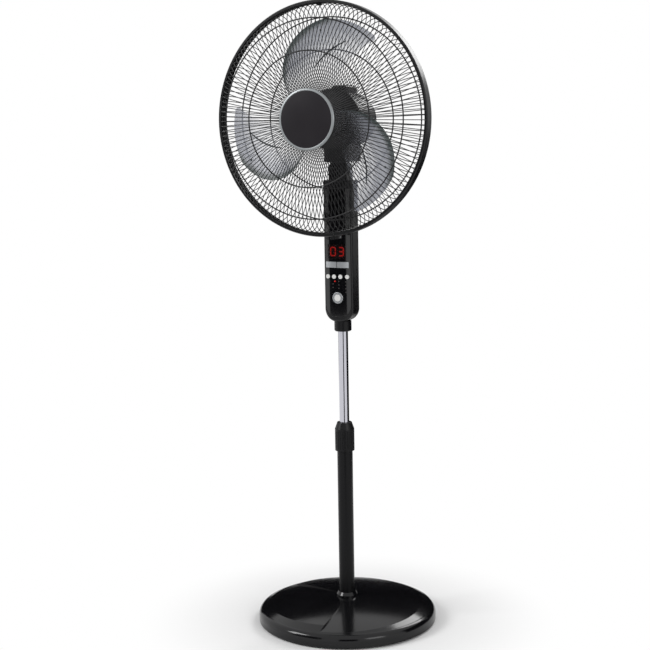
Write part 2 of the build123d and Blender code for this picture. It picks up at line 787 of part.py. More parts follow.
def stator():
    back = STATOR_FRONT + STATOR_LENGTH
    bore = ROTOR_R + AIR_GAP
    core = lathe_y((bore, STATOR_FRONT), (STATOR_R, STATOR_FRONT), (STATOR_R, back), (bore, back))
    coil_r = (ROTOR_R + STATOR_R) / 2
    for depth in (STATOR_FRONT - 6, back):
        core += lathe_y((coil_r - 7, depth), (coil_r + 5, depth),
                        (coil_r + 5, depth + 6), (coil_r - 7, depth + 6))
    return core


def motor_rear_cover():
    split, end, wall = COVER_SPLIT, MOTOR_END, COVER_WALL
    edge = MOTOR_R
    dome = 26.0
    outer = lathe_y((0, split), (edge, split), (edge, end - dome),
                    (edge - 6, end - 9), (edge - 18, end), (0, end))
    inner = lathe_y((0, split - 1), (edge - wall, split - 1), (edge - wall, end - dome - 0.5),
                    (edge - 6 - wall, end - 9 - wall), (edge - 18 - wall * 0.6, end - wall), (0, end - wall))
    half = HUMP_W / 2
    hump = block(-half, half, HUMP_FRONT, HUMP_BACK, 0, HUMP_TOP)
    hump = fillet(hump.edges().filter_by(Axis.Y).group_by(Axis.Z)[-1], 6)
    hump = fillet(hump.faces().sort_by(Axis.Z)[-1].edges().filter_by(Axis.X), 8)
    cover = outer + in_head(hump)
    for x in (-5.0, 5.0):
        low = MOTOR_R - 4
        slot = block(x - SLOT_W / 2, x + SLOT_W / 2, HUMP_FRONT - 1, HUMP_BACK + 1, low, low + SLOT_H)
        cover -= in_head(slot)
    cover -= inner
    vent = block(-1.5, 1.5, end - wall - 14, end + 1, 12, edge - 14)
    for n in range(16):
        cover -= in_head(Rot(0, 360 / 16 * (n + 0.5), 0) * vent)
    return cover


def motor_shaft():
    end = BRACKET_DEPTH + 3 + BEARING_T + 2
    shaft = lathe_y((0, SHAFT_FRONT), (SHAFT_R - 0.6, SHAFT_FRONT), (SHAFT_R, SHAFT_FRONT + 0.6),
                    (SHAFT_R, end), (0, end))
    return shaft - drive_hole()


def rotor_core():
    front = STATOR_FRONT + 1
    back = STATOR_FRONT + STATOR_LENGTH - 1
    return lathe_y((SHAFT_R + FIT, front), (ROTOR_R, front), (ROTOR_R, back), (SHAFT_R + FIT, back))


# Guard

def front_path():
    slope = math.radians(FRONT_SLOPE)
    long_arc = JernArc(FRONT_START, (math.cos(slope), math.sin(slope)), FRONT_BEND_R, FRONT_TURN)
    left = math.radians(FRONT_SLOPE + FRONT_TURN)
    corner_r = (WIRE_END_R - (long_arc @ 1).X) / (1 - math.sin(left))
    corner = JernArc(long_arc @ 1, long_arc % 1, corner_r, 90 - FRONT_SLOPE - FRONT_TURN)
    end = Line(corner @ 1, (WIRE_END_R, BAND_MID - WIRE_STOP))
    return Wire([long_arc, corner, end])


def rear_path():
    slope = math.radians(REAR_SLOPE)
    reach = WIRE_END_R - REAR_BEND_R * (1 + math.sin(slope))
    bend = (reach, REAR_START[1] + (reach - REAR_START[0]) * math.tan(slope))
    flat = Line(REAR_START, bend)
    corner = JernArc(bend, flat % 1, REAR_BEND_R, -90 - REAR_SLOPE)
    end = Line(corner @ 1, (WIRE_END_R, BAND_MID + WIRE_STOP))
    return Wire([flat, corner, end])


def wires(path, offset):
    start = Plane(path @ 0, z_dir=path % 0)
    wire = in_head(sweep(start * RegularPolygon(WIRE_R, WIRE_FLATS), path=path))
    spin = Pos(0, HUB_FACE_Y, AXIS_Z)
    back = Pos(0, -HUB_FACE_Y, -AXIS_Z)
    return [spin * Rot(0, 360 / WIRES * (n + offset), 0) * back * wire for n in range(WIRES)]


def depth_on(path, radius):
    """How deep a wire lies at a radius."""
    low, high = 0.0, 1.0
    for _ in range(40):
        mid = (low + high) / 2
        if (path @ mid).X < radius:
            low = mid
        else:
            high = mid
    return (path @ low).Y


def ring(radius, depth, thick):
    return in_head(Pos(0, depth, 0) * Rot(90, 0, 0) * Torus(radius, thick))


def front_grille():
    path = front_path()
    stand = WIRE_R + RING_R + 0.08
    rings = [ring(r, depth_on(path, r) - stand * 1.05, RING_R) for r in FRONT_RINGS]
    rim = ring(WIRE_END_R + WIRE_R + RIM_RING_R + RIM_SEAT, BAND_MID - 3.4, RIM_RING_R)
    front = FRONT_START[1] + WIRE_R + 0.1
    backing = lathe_y((10, front), (HUB_RING_R - 1, front), (HUB_RING_R - 1, front + 1.6), (10, front + 1.6))
    return wires(path, 0.5) + rings + [rim, backing]


def rear_grille():
    path = rear_path()
    stand = WIRE_R + RING_R + 0.08
    rings = [ring(r, depth_on(path, r) + stand, RING_R) for r in REAR_RINGS]
    rim = ring(WIRE_END_R + WIRE_R + RIM_RING_R + RIM_SEAT, BAND_MID + 3.4, RIM_RING_R)
    front, back = PLATE_DEPTH, PLATE_DEPTH + REAR_PLATE_T
    plate = lathe_y((NUT_HOLE_R + GAP, front), (PLATE_R, front), (PLATE_R, back), (NUT_HOLE_R + GAP, back))
    return wires(path, 0.5) + rings + [rim, plate]


def grille_nut():
    back = PLATE_DEPTH - FIT
    front = back - 9
    nut = lathe_y((NUT_HOLE_R + FIT, front), (NUT_HOLE_R + 9, front), (NUT_HOLE_R + 13, front + 5),
                  (NUT_HOLE_R + 13, back), (NUT_HOLE_R + FIT, back))
    notch = block(-2.5, 2.5, front + 3, back + 1, NUT_HOLE_R + 11.4, NUT_HOLE_R + 14)
    for n in range(12):
        nut -= in_head(Rot(0, 30 * n, 0) * notch)
    return nut


def guard_band():
    inner = GUARD_R - BAND_WALL
    lip = inner - BAND_LIP
    band = lathe_y((GUARD_R - 1.5, BAND_FRONT), (GUARD_R, BAND_FRONT + 2), (GUARD_R, BAND_BACK - 2),
                   (GUARD_R - 1.5, BAND_BACK), (lip, BAND_BACK), (lip, BAND_BACK - 1.6),
                   (inner, BAND_BACK - 1.6),
                   (inner, BAND_FRONT + 1.6), (lip, BAND_FRONT + 1.6), (lip, BAND_FRONT))
    lug = block(-LUG_W / 2, LUG_W / 2, BAND_FRONT + 4, BAND_BACK - 4, -GUARD_R - LUG_H, -GUARD_R + 1)
    band += at_lug(lug)
    split = block(-0.8, 0.8, BAND_FRONT - 1, BAND_BACK + 1, -GUARD_R - LUG_H - 1, -GUARD_R + 12)
    hole = rod_x(1.6, -LUG_W / 2 - 3, LUG_W / 2 + 3, BAND_MID, -GUARD_R - LUG_H / 2)
    return band - at_lug(split) - at_lug(hole)


def at_lug(shape):
    """Turns a shape from the guard's lowest point to the clamp lug."""
    return in_head(Rot(0, LUG_TURN, 0) * shape)


def band_screw():
    half = LUG_W / 2
    screw = rod_x(1.55, -half - 1.5, half, BAND_MID, -GUARD_R - LUG_H / 2)
    return at_lug(screw + rod_x(2.8, -half - 2.4, -half - FIT, BAND_MID, -GUARD_R - LUG_H / 2))


def hub_cap():
    """A disc with a slightly domed front."""
    dome_r = (HUB_R ** 2 + HUB_SAG ** 2) / (2 * HUB_SAG)
    disc = rod_y(HUB_R, 0, HUB_RING_T)
    return in_head(disc & (Pos(0, dome_r, 0) * Sphere(dome_r)))


def hub_ring():
    low = HUB_R + FIT
    back = HUB_RING_T + FIT
    plate = back + 0.4
    return lathe_y((low, HUB_SAG), (low + 1.2, HUB_SAG - 0.6), (HUB_RING_R - 1.4, HUB_SAG + 0.2),
                   (HUB_RING_R, HUB_SAG + 1.8), (HUB_RING_R, plate), (10, plate), (10, back), (low, back))


def top_clip():
    """The clip under the rim rings that hangs the front grille on the rear one."""
    top = WIRE_END_R + WIRE_R + RIM_SEAT - GAP
    half = WIRE_STOP - GAP
    return in_head(block(-5, 5, BAND_MID - half, BAND_MID + half, top - 4, top))


# Impeller

def blade_depth(angle):
    """Depth of the blade's front face at an angle, in degrees, seen from the front."""
    turn = math.radians(BLADE_TRAIL - angle)
    share = (BLADE_TRAIL - angle) / (BLADE_TRAIL - BLADE_LEADING)
    return BLADE_TRAIL_DEPTH + BLADE_LEAD * turn + BLADE_CAMBER * math.sin(math.pi * share)


def flat_polar(radius, angle):
    return (radius * math.cos(math.radians(angle)), radius * math.sin(math.radians(angle)))


def blade_outline():
    """The blade seen from the front: a full round trailing edge and a scooped leading edge."""
    root_r = BLADE_HUB_R - 2
    trailing = [(root_r, 141), (60, 135), (106, 126), (143, 114), (163, 105), (181, 94), (TIP_R - 3, 85)]
    edge = Spline(*[flat_polar(r, a) for r, a in trailing])
    tip = ThreePointArc(edge @ 1, flat_polar(TIP_R, 70), flat_polar(TIP_R - 1, BLADE_LEADING + 4.5))
    low = BLADE_LEADING + 2
    corner = ThreePointArc(tip @ 1, flat_polar(TIP_R - 4, low), flat_polar(TIP_R - 12, low))
    leading = [(TIP_R - 12, BLADE_LEADING + 2), (160, 56), (120, 61), (80, 66.5), (root_r, 77)]
    scoop = Spline(*[flat_polar(r, a) for r, a in leading])
    root = Line(scoop @ 1, edge @ 0)
    return make_face([edge, tip, corner, scoop, root])


def blade():
    radii = [BLADE_HUB_R * 0.6 + (TIP_R * 1.1 - BLADE_HUB_R * 0.6) * n / 6 for n in range(7)]
    angles = [BLADE_LEADING - 12 + 122 * n / 14 for n in range(15)]
    grid = []
    for angle in angles:
        row = []
        for radius in radii:
            x, z = flat_polar(radius, angle)
            row.append(Vector(x, blade_depth(angle), z))
        grid.append(row)
    sheet = Face.make_surface_from_array_of_points(grid)
    slab = extrude(sheet, BLADE_T, dir=(0, 1, 0))
    return in_head(slab & upright(blade_outline(), 0, BLADE_HUB_BACK + 30))


def impeller():
    front, back = BLADE_HUB_FRONT, BLADE_HUB_BACK
    r = BLADE_HUB_R
    hub = lathe_y((SHAFT_R + FIT, front), (r - 4, front), (r, front + 4), (r, back),
                  (r - 2.6, back), (r - 2.6, front + 3), (BLADE_BOSS_R, front + 3),
                  (BLADE_BOSS_R, back), (SHAFT_R + FIT, back))
    wing = blade()
    spin = Pos(0, HUB_FACE_Y, AXIS_Z)
    home = Pos(0, -HUB_FACE_Y, -AXIS_Z)
    for n in range(BLADES):
        hub += spin * Rot(0, 360 / BLADES * n, 0) * home * wing
    return hub - drive_hole()


def drive_hole():
    """The cross hole for the pin that drives the impeller."""
    half = BLADE_BOSS_R - 1
    return in_head(rod_x(DRIVE_PIN_R + FIT, -half, half, BLADE_HUB_BACK - DRIVE_PIN_R - 0.5, 0))


def drive_pin():
    half = BLADE_BOSS_R - 1.2
    return in_head(rod_x(DRIVE_PIN_R, -half, half, BLADE_HUB_BACK - DRIVE_PIN_R - 0.5, 0))


def spinner():
    back = BLADE_HUB_FRONT - FIT
    front = back - SPINNER_L
    r = SPINNER_R
    return lathe_y((SHAFT_R + FIT, front + 3), (SHAFT_R + FIT, back), (r, back), (r, front + 7),
                   (r - 3, front + 2), (r - 8, front), (0, front), (0, front + 3))


def main():
    os.makedirs("parts", exist_ok=True)
    save("base_cover", base_cover())
    save("base_weight", base_weight())
    save("foot_pads", *foot_pads())
    save("pole_bolt", pole_bolt())
    save("pole_plug", pole_plug())
    save("foot_ring", foot_ring())
    save("outer_tube", outer_tube())
    save("collet", collet())
    save("lock_nut", lock_nut())
    save("inner_tube", inner_tube())
    save("tube_guide", tube_guide())
    save("box_collar", box_collar())
    save("front_shell", front_shell())
    save("rear_shell", rear_shell())
    save("shell_screws", *shell_screws())
    save("cord_gland", cord_gland())
    save("fascia", fascia())
    save("display_window", window())
    save("receiver_eye", receiver_eye())
    save("legend_plates", *legend_plates())
    save("indicator_lights", *indicator_lights())
    save("lit_light", light(*LIT_PLACE))
    save("display_module", display_module())
    save("lit_digits", *lit_digits())
    save("circuit_board", circuit_board())
    for number, (x, z, radius) in enumerate(key_places(), 1):
        save(f"key_{number}", key(x, z, radius))
    save("power_key", power_key())
    save("power_lens", power_lens())
    save("mast_socket", mast_socket())
    save("neck_fork", neck_fork())
    save("tilt_bolt", tilt_bolt())
    save("tilt_nut", tilt_nut())
    save("tilt_knuckle", tilt_knuckle())
    save("swing_sector", swing_sector())
    save("swing_pinion", swing_pinion())
    save("swing_motor", swing_motor())
    save("swing_case", swing_case())
    save("swing_pin", swing_pin())
    save("motor_front_cover", motor_front_cover())
    save("motor_rear_cover", motor_rear_cover())
    save("rear_bracket", rear_bracket())
    save("bearings", *bearings())
    save("stator", stator())
    save("motor_shaft", motor_shaft())
    save("rotor_core", rotor_core())
    save("front_grille", *front_grille())
    save("rear_grille", *rear_grille())
    save("grille_nut", grille_nut())
    save("guard_band", guard_band())
    save("band_screw", band_screw())
    save("hub_cap", hub_cap())
    save("hub_ring", hub_ring())
    save("top_clip", top_clip())
    save("impeller", impeller())
    save("drive_pin", drive_pin())
    save("spinner", spinner())


main()
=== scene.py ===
import math

import bmesh
import bpy
from bpy.props import FloatProperty, FloatVectorProperty, PointerProperty, StringProperty
from mathutils import Matrix, Vector
from mathutils.bvhtree import BVHTree


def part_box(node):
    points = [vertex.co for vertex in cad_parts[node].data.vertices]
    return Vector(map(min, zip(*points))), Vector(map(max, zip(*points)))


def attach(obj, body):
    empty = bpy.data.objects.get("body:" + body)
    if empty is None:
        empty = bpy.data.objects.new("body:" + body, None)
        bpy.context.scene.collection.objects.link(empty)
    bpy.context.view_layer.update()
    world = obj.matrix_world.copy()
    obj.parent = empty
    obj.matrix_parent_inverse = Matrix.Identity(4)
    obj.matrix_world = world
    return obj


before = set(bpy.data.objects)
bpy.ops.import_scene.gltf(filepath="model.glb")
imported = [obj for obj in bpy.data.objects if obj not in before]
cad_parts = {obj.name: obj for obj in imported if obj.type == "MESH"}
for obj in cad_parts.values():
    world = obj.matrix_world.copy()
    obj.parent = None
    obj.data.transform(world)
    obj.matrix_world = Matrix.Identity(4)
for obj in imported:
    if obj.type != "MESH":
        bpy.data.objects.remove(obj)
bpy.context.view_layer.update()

bl_info = {
    "name": "Pedestal fan",
    "version": (1, 0, 0),
    "blender": (4, 5, 0),
    "location": "3D View > Sidebar > Fan",
    "description": "Finishes, blade ribs and studio for a pedestal fan",
    "category": "Object",
}

# Places read from the frame, in metres
HUB_LOW, HUB_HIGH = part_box("hub_cap")
AXIS_Z = (HUB_LOW[2] + HUB_HIGH[2]) / 2
HUB_FACE = HUB_LOW[1]
MM = 0.001

# The blades' trailing edge: its depth behind the hub's face grows with the radius
EDGE_INNER_R, EDGE_OUTER_R = 34 * MM, 192 * MM
EDGE_INNER_DEPTH, EDGE_OUTER_DEPTH = 17 * MM, 52.5 * MM
EDGE_BEND = 1.6

# The blades' tint: clear at the root, milky from there, thinner away from the trailing edge, with a dark band
# of painted shade along the trailing edge
CLEAR_R, MILKY_R = 70 * MM, 122 * MM
ROOT_SHARE = 0.14
# Painted shade: where the dark, nearly opaque band behind the trailing edge starts and ends, and how opaque
# it is
EDGE_SHADE_START, EDGE_SHADE_END = 1 * MM, 6 * MM
EDGE_SHADE_ALPHA = 0.9
THIN_START, THIN_END = 4 * MM, 30 * MM
THICK_ALPHA, THIN_ALPHA = 0.7, 0.16


class FanFinish(bpy.types.PropertyGroup):
    """Colours of the fan's materials, as sRGB hex values."""
    body: StringProperty(name="Body", description="Gloss black moulded body", default="#0e0e10")
    wire: StringProperty(name="Wire", description="Powder-coated guard wire", default="#101012")
    panel: StringProperty(name="Panel", description="Gloss control panel", default="#0b0b0d")
    silver: StringProperty(name="Silver", description="Silver paint on trim and plates", default="#b4b7ba")
    hub: StringProperty(name="Hub", description="Satin hub cap", default="#211e22")
    smoke: StringProperty(name="Blade", description="Milky outer part of the blades", default="#a6a9b3")
    # Painted shade: the colour of the dark band along the blades' trailing edge, where the thick edge is seen
    # edge-on
    trailing_edge_shade: StringProperty(name="Blade edge", description="Darker band on the trailing edge",
                               default="#3f4a4a")
    rib: StringProperty(name="Blade rib", description="Thick plastic of the blades' ribs", default="#30373a")
    ring: StringProperty(name="Hub ring", description="Matte silver ring round the hub", default="#8e9294")
    key: StringProperty(name="Keys", description="Small keys", default="#d6d6d4")
    lit: StringProperty(name="Light", description="Lit red segments", default="#e02218")


class FanDetail(bpy.types.PropertyGroup):
    """Sizes of the moulded detail on the blades."""
    rib_width: FloatProperty(name="Rib width", description="Width of a blade's rib", default=3.4 * MM,
                             unit="LENGTH")
    rib_height: FloatProperty(name="Rib height", description="How far a rib stands out", default=0.9 * MM,
                              unit="LENGTH")
    pip_radius: FloatProperty(name="Pip radius", description="Mould mark near a blade's tip",
                              default=2.2 * MM, unit="LENGTH")


class FanStage(bpy.types.PropertyGroup):
    """The studio's camera and lamps."""
    camera_place: FloatVectorProperty(name="Camera", description="Where the camera stands",
                                      default=(1.2293, -2.4642, 1.0079), subtype="TRANSLATION", unit="LENGTH")
    heading: FloatProperty(name="Heading", description="Camera's turn about the upright",
                           default=math.radians(27.276), subtype="ANGLE")
    pitch: FloatProperty(name="Pitch", description="How far the camera looks down",
                         default=math.radians(7.97), subtype="ANGLE")
    roll: FloatProperty(name="Roll", description="Camera's lean", default=math.radians(-1.009),
                        subtype="ANGLE")
    lens: FloatProperty(name="Lens", description="Focal length in millimetres", default=75.35)
    ambient: FloatProperty(name="Ambient", description="Strength of the even room light", default=0.45)


def linear(code):
    """An sRGB hex value as linear RGBA."""
    parts = [int(code[n:n + 2], 16) / 255 for n in (1, 3, 5)]
    return tuple(c / 12.92 if c <= 0.04045 else ((c + 0.055) / 1.055) ** 2.4 for c in parts) + (1.0,)


def shade(colour, share):
    return tuple(c * share for c in colour[:3]) + (1.0,)


def add(tree, kind, inputs=None, **settings):
    """Adds a node with its settings; an input that is a socket is linked."""
    made = tree.nodes.new(kind)
    for key, value in settings.items():
        setattr(made, key, value)
    for key, value in (inputs or {}).items():
        if isinstance(value, bpy.types.NodeSocket):
            tree.links.new(value, made.inputs[key])
        else:
            made.inputs[key].default_value = value
    return made


def blank(name):
    material = bpy.data.materials.new(name)
    material.use_nodes = True
    material.node_tree.nodes.clear()
    return material, material.node_tree


def close(tree, shader):
    add(tree, "ShaderNodeOutputMaterial", {"Surface": shader.outputs[0]})


def moulded(name, code, rough, grain_mm, depth_mm, spread=0.12, coat=0.0, edge_mm=0.0, shine=0.3):
    """Moulded ABS: a fine grain breaks the highlight, the colour drifts and the edges are soft."""
    material, tree = blank(name)
    colour = linear(code)
    place = add(tree, "ShaderNodeTexCoord")
    grain = add(tree, "ShaderNodeTexNoise", {"Vector": place.outputs["Object"], "Scale": 1 / (grain_mm * MM),
                                             "Detail": 3.0, "Roughness": 0.6})
    drift = add(tree, "ShaderNodeTexNoise", {"Vector": place.outputs["Object"], "Scale": 1 / (90 * MM),
                                             "Detail": 2.0})
    tint = add(tree, "ShaderNodeMix", {"Factor": drift.outputs["Fac"], "A": shade(colour, 1 - spread),
                                       "B": shade(colour, 1 + spread)}, data_type="RGBA")
    rub = add(tree, "ShaderNodeMapRange", {"Value": drift.outputs["Fac"], "To Min": rough - 0.06,
                                           "To Max": rough + 0.06})
    bump = add(tree, "ShaderNodeBump", {"Height": grain.outputs["Fac"], "Strength": 0.5,
                                        "Distance": depth_mm * MM})
    if edge_mm:
        soft = add(tree, "ShaderNodeBevel", {"Radius": edge_mm * MM}, samples=6)
        tree.links.new(soft.outputs["Normal"], bump.inputs["Normal"])
    shader = add(tree, "ShaderNodeBsdfPrincipled", {"Base Color": tint.outputs["Result"], "IOR": 1.53,
                                                    "Roughness": rub.outputs["Result"],
                                                    "Normal": bump.outputs["Normal"], "Coat Weight": coat,
                                                    "Coat Roughness": 0.05,
                                                    "Specular IOR Level": shine})
    close(tree, shader)
    return material


def silver_paint(name, code, rough=0.3, metal=0.75):
    """Silver paint on ABS: fine metal flakes glitter in a soft grey."""
    material, tree = blank(name)
    colour = linear(code)
    place = add(tree, "ShaderNodeTexCoord")
    flake = add(tree, "ShaderNodeTexVoronoi", {"Vector": place.outputs["Object"], "Scale": 1 / (0.5 * MM)})
    tint = add(tree, "ShaderNodeMix", {"Factor": flake.outputs["Distance"], "A": shade(colour, 1.1),
                                       "B": shade(colour, 0.85)}, data_type="RGBA")
    shader = add(tree, "ShaderNodeBsdfPrincipled", {"Base Color": tint.outputs["Result"], "Metallic": metal,
                                                    "Roughness": rough})
    close(tree, shader)
    return material


def bare_metal(name, code, rough, streak_mm):
    """Drawn or plated metal: fine lengthways streaks in the polish."""
    material, tree = blank(name)
    place = add(tree, "ShaderNodeTexCoord")
    stretch = add(tree, "ShaderNodeMapping", {"Vector": place.outputs["Object"], "Scale": (1.0, 1.0, 0.02)})
    streak = add(tree, "ShaderNodeTexNoise", {"Vector": stretch.outputs["Vector"],
                                              "Scale": 1 / (streak_mm * MM), "Detail": 2.0})
    rub = add(tree, "ShaderNodeMapRange", {"Value": streak.outputs["Fac"], "To Min": rough * 0.7,
                                           "To Max": rough * 1.3})
    shader = add(tree, "ShaderNodeBsdfPrincipled", {"Base Color": linear(code), "Metallic": 1.0,
                                                    "Roughness": rub.outputs["Result"]})
    close(tree, shader)
    return material


def smoke_blade(name, milky, edge):
    """Smoke SAN: clear at the root, milky further out, with painted shade in a dark band along the trailing
    edge, and thin away from it.
    """
    material, tree = blank(name)
    place = add(tree, "ShaderNodeTexCoord")
    parts = add(tree, "ShaderNodeSeparateXYZ", {"Vector": place.outputs["Object"]})
    up = add(tree, "ShaderNodeMath", {0: parts.outputs["Z"], 1: AXIS_Z}, operation="SUBTRACT")
    across = add(tree, "ShaderNodeMath", {0: parts.outputs["X"], 1: parts.outputs["X"]}, operation="MULTIPLY")
    over = add(tree, "ShaderNodeMath", {0: up.outputs[0], 1: up.outputs[0], 2: across.outputs[0]},
               operation="MULTIPLY_ADD")
    radius = add(tree, "ShaderNodeMath", {0: over.outputs[0]}, operation="SQRT")
    veil = add(tree, "ShaderNodeMapRange", {"Value": radius.outputs[0], "From Min": CLEAR_R,
                                            "From Max": MILKY_R, "To Min": ROOT_SHARE, "To Max": 1.0},
               interpolation_type="SMOOTHSTEP")
    depth = add(tree, "ShaderNodeMath", {0: parts.outputs["Y"], 1: HUB_FACE}, operation="SUBTRACT")
    reach = add(tree, "ShaderNodeMapRange", {"Value": radius.outputs[0], "From Min": EDGE_INNER_R,
                                             "From Max": EDGE_OUTER_R})
    curve = add(tree, "ShaderNodeMath", {0: reach.outputs["Result"], 1: EDGE_BEND}, operation="POWER")
    edge_depth = add(tree, "ShaderNodeMath", {0: curve.outputs[0], 1: EDGE_OUTER_DEPTH - EDGE_INNER_DEPTH,
                                              2: EDGE_INNER_DEPTH}, operation="MULTIPLY_ADD")
    behind = add(tree, "ShaderNodeMath", {0: depth.outputs[0], 1: edge_depth.outputs[0]},
                 operation="SUBTRACT")
    # Painted shade: a dark, nearly opaque band just behind the trailing edge, where the blade is seen edge-on
    band = add(tree, "ShaderNodeMapRange", {"Value": behind.outputs[0], "From Min": EDGE_SHADE_START,
                                            "From Max": EDGE_SHADE_END, "To Min": 1.0, "To Max": 0.0},
               interpolation_type="SMOOTHSTEP")
    cloud = add(tree, "ShaderNodeTexNoise", {"Vector": place.outputs["Object"], "Scale": 1 / (60 * MM),
                                             "Detail": 2.0})
    milk = add(tree, "ShaderNodeMix", {"Factor": cloud.outputs["Fac"], "A": shade(linear(milky), 0.88),
                                       "B": shade(linear(milky), 1.1)}, data_type="RGBA")
    tint = add(tree, "ShaderNodeMix", {"Factor": band.outputs["Result"], "A": milk.outputs["Result"],
                                       "B": linear(edge)}, data_type="RGBA")
    thin = add(tree, "ShaderNodeMapRange", {"Value": behind.outputs[0], "From Min": THIN_START,
                                            "From Max": THIN_END, "To Min": THICK_ALPHA,
                                            "To Max": THIN_ALPHA}, interpolation_type="SMOOTHSTEP")
    milky_alpha = add(tree, "ShaderNodeMath", {0: veil.outputs["Result"], 1: thin.outputs["Result"]},
                      operation="MULTIPLY")
    edge_shade_alpha = add(tree, "ShaderNodeMath", {0: band.outputs["Result"], 1: EDGE_SHADE_ALPHA}, operation="MULTIPLY")
    alpha = add(tree, "ShaderNodeMath", {0: milky_alpha.outputs[0], 1: edge_shade_alpha.outputs[0]},
                operation="MAXIMUM")
    shader = add(tree, "ShaderNodeBsdfPrincipled", {"Base Color": tint.outputs["Result"], "Roughness": 0.22,
                                                    "IOR": 1.57, "Alpha": alpha.outputs[0]})
    close(tree, shader)
    return material


def tinted_window(name, code):
    """Tinted acrylic: dark, glossy, and clear enough to show the lit segments behind it."""
    material, tree = blank(name)
    shader = add(tree, "ShaderNodeBsdfPrincipled", {"Base Color": linear(code), "Roughness": 0.06,
                                                    "IOR": 1.49, "Alpha": 0.35})
    close(tree, shader)
    return material


def lit_segment(name, code):
    """A lit red light: it glows evenly and keeps its gloss."""
    material, tree = blank(name)
    shader = add(tree, "ShaderNodeBsdfPrincipled", {"Base Color": linear(code), "Roughness": 0.3,
                                                    "Emission Color": linear(code), "Emission Strength": 0.6})
    close(tree, shader)
    return material


def piece_of(shape, name):
    """Turns a bmesh into a linked object."""
    mesh = bpy.data.meshes.new(name)
    shape.to_mesh(mesh)
    shape.free()
    piece = bpy.data.objects.new(name, mesh)
    bpy.context.collection.objects.link(piece)
    return piece


def dress(material, *names):
    """Gives CAD nodes a material."""
    for name in names:
        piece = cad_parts[name]
        piece.data.materials.clear()
        piece.data.materials.append(material)


class FAN_OT_base(bpy.types.Operator):
    """Finishes the base and the lower tube"""
    bl_idname = "fan.base"
    bl_label = "Base and pole"

    def execute(self, context):
        finish = context.scene.fan_finish
        dress(moulded("Moulded ABS, base", finish.body, 0.13, 0.9, 0.003), "base_cover", "foot_ring")
        dress(moulded("Cast iron", "#26262a", 0.8, 1.6, 0.2), "base_weight")
        dress(moulded("Rubber", "#161616", 0.8, 0.8, 0.05), "foot_pads", "cord_gland")
        dress(moulded("Powder coat, tube", finish.body, 0.26, 0.7, 0.008, shine=0.14), "outer_tube")
        dress(moulded("Moulded ABS, nut", finish.body, 0.32, 0.7, 0.01, edge_mm=1.0, shine=0.18),
              "lock_nut", "box_collar")
        dress(moulded("Natural nylon", "#b9b6aa", 0.5, 1.0, 0.01), "pole_plug", "collet", "tube_guide",
              "swing_sector", "swing_pinion")
        dress(bare_metal("Chrome plate", "#c4c4cc", 0.09, 0.6), "inner_tube")
        dress(bare_metal("Zinc-plated steel", "#a5a7aa", 0.35, 0.8), "pole_bolt", "shell_screws", "tilt_bolt",
              "tilt_nut", "swing_pin", "band_screw", "motor_shaft", "drive_pin", "rear_bracket")
        return {"FINISHED"}


class FAN_OT_control(bpy.types.Operator):
    """Finishes the control box, its panel and its keys"""
    bl_idname = "fan.control"
    bl_label = "Control box"

    def execute(self, context):
        finish = context.scene.fan_finish
        dress(moulded("Moulded ABS, box", finish.body, 0.28, 0.8, 0.01, edge_mm=2.0), "front_shell",
              "rear_shell", "mast_socket", "neck_fork", "tilt_knuckle")
        dress(moulded("Gloss acrylic panel", finish.panel, 0.09, 40.0, 0.01, coat=0.6), "fascia")
        dress(tinted_window("Tinted acrylic", "#1a0c0e"), "display_window")
        dress(moulded("Black acrylic lens", "#0c0c10", 0.08, 30.0, 0.01), "receiver_eye")
        dress(moulded("Display module", "#0b0b0c", 0.6, 1.0, 0.02), "display_module")
        dress(lit_segment("Lit red segment", finish.lit), "lit_digits", "lit_light")
        dress(moulded("Unlit light", "#4a4646", 0.25, 4.0, 0.01), "indicator_lights")
        dress(silver_paint("Silver paint, plates", finish.silver), "legend_plates")
        dress(silver_paint("Silver paint, power key", finish.silver, 0.24), "power_key")
        dress(moulded("Key ABS", finish.key, 0.35, 2.0, 0.01, 0.04), "key_1", "key_2", "key_3", "key_4",
              "power_lens")
        dress(moulded("Solder mask", "#14452a", 0.35, 3.0, 0.02), "circuit_board")
        return {"FINISHED"}


class FAN_OT_head(bpy.types.Operator):
    """Finishes the motor, the swing gear and the hub"""
    bl_idname = "fan.head"
    bl_label = "Motor head"

    def execute(self, context):
        finish = context.scene.fan_finish
        dress(moulded("Moulded ABS, motor", finish.body, 0.36, 1.0, 0.02, edge_mm=1.5), "motor_front_cover",
              "motor_rear_cover", "swing_case", "grille_nut", "spinner", "top_clip")
        dress(bare_metal("Laminated steel", "#7d7f82", 0.5, 0.9), "stator", "rotor_core", "swing_motor")
        dress(bare_metal("Sintered bronze", "#9a7a4a", 0.45, 0.7), "bearings")
        dress(moulded("Satin hub cap", finish.hub, 0.32, 0.8, 0.015), "hub_cap")
        dress(silver_paint("Silver paint, hub ring", finish.ring, 0.38, 0.45), "hub_ring")
        return {"FINISHED"}


class FAN_OT_guard(bpy.types.Operator):
    """Finishes the wire guard and its band"""
    bl_idname = "fan.guard"
    bl_label = "Guard"

    def execute(self, context):
        finish = context.scene.fan_finish
        dress(moulded("Powder coat, wire", finish.wire, 0.42, 0.8, 0.01), "front_grille", "rear_grille")
        dress(moulded("Moulded ABS, band", finish.body, 0.34, 0.9, 0.01, edge_mm=1.0), "guard_band")
        return {"FINISHED"}


